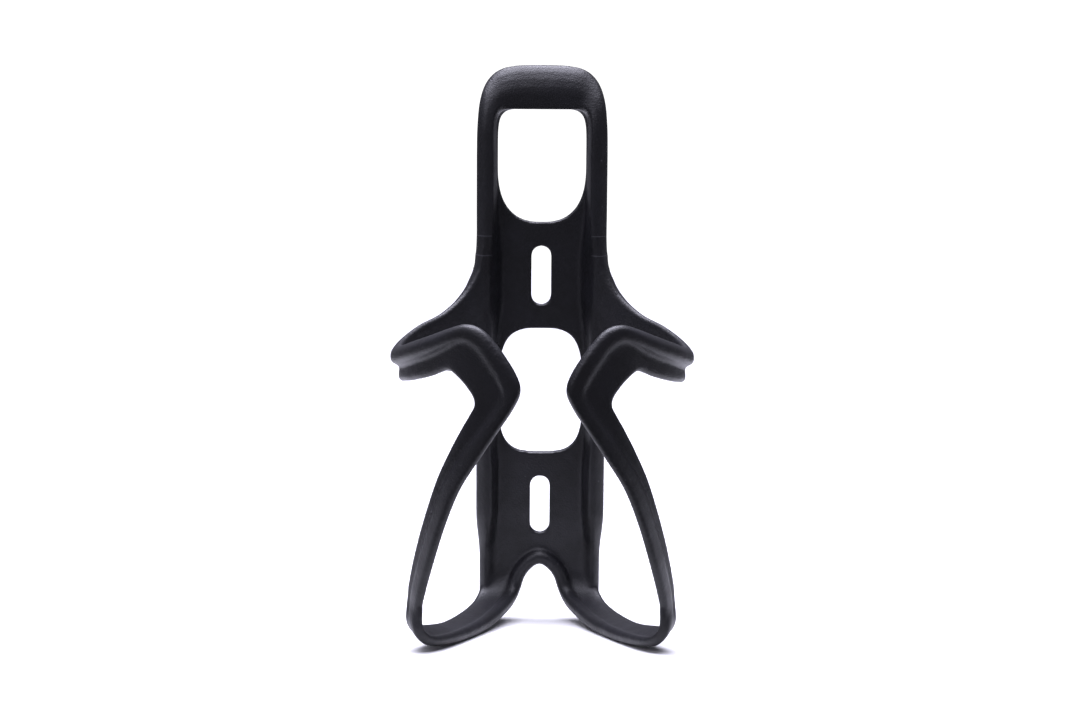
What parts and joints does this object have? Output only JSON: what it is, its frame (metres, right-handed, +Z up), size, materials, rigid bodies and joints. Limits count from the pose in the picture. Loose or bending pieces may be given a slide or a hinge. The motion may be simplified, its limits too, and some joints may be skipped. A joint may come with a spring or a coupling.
{
  "type": "water bottle cage",
  "caption": "Bicycle bottle cage: slotted flat back plate with windows and raised rails, two springing side arms and two forked toes under the bottle.",
  "frame": {"origin": "on the standing surface, under the middle of the cage's box", "axes": "+Z up along the bottle and the back plate, +Y towards the bicycle tube, square to the plate's rear face, +X to the right seen from the bottle side"},
  "size_m": [0.078, 0.0794, 0.1498],
  "materials": {
    "moulded_plastic": "fine-grained matt black fibre-filled nylon, as moulded"
  },
  "bodies": {
    "frame": {"back_plate": "moulded_plastic", "top_lip": "moulded_plastic", "arch_rim": "moulded_plastic", "right_rail": "moulded_plastic", "left_rail": "moulded_plastic", "right_wing_root": "moulded_plastic", "left_wing_root": "moulded_plastic", "right_foot": "moulded_plastic", "left_foot": "moulded_plastic", "right_toe": "moulded_plastic", "left_toe": "moulded_plastic"},
    "right_arm": {"right_wing": "moulded_plastic", "right_front_arm": "moulded_plastic", "right_clasp": "moulded_plastic", "right_strut": "moulded_plastic"},
    "left_arm": {"left_wing": "moulded_plastic", "left_front_arm": "moulded_plastic", "left_clasp": "moulded_plastic", "left_strut": "moulded_plastic"}
  },
  "joints": [
    {"name": "right_arm_flex", "type": "hinge", "parent": "frame", "child": "right_arm", "pos_m": [0.03187, 0.01668, 0.07644], "axis": [-0.0076, 0.5114, 0.8593], "range_deg": [-1, 4], "stiffness_Nm_per_rad": 8},
    {"name": "left_arm_flex", "type": "hinge", "parent": "frame", "child": "left_arm", "pos_m": [-0.03187, 0.01668, 0.07644], "axis": [-0.0076, -0.5114, -0.8593], "range_deg": [-1, 4], "stiffness_Nm_per_rad": 8}
  ]
}
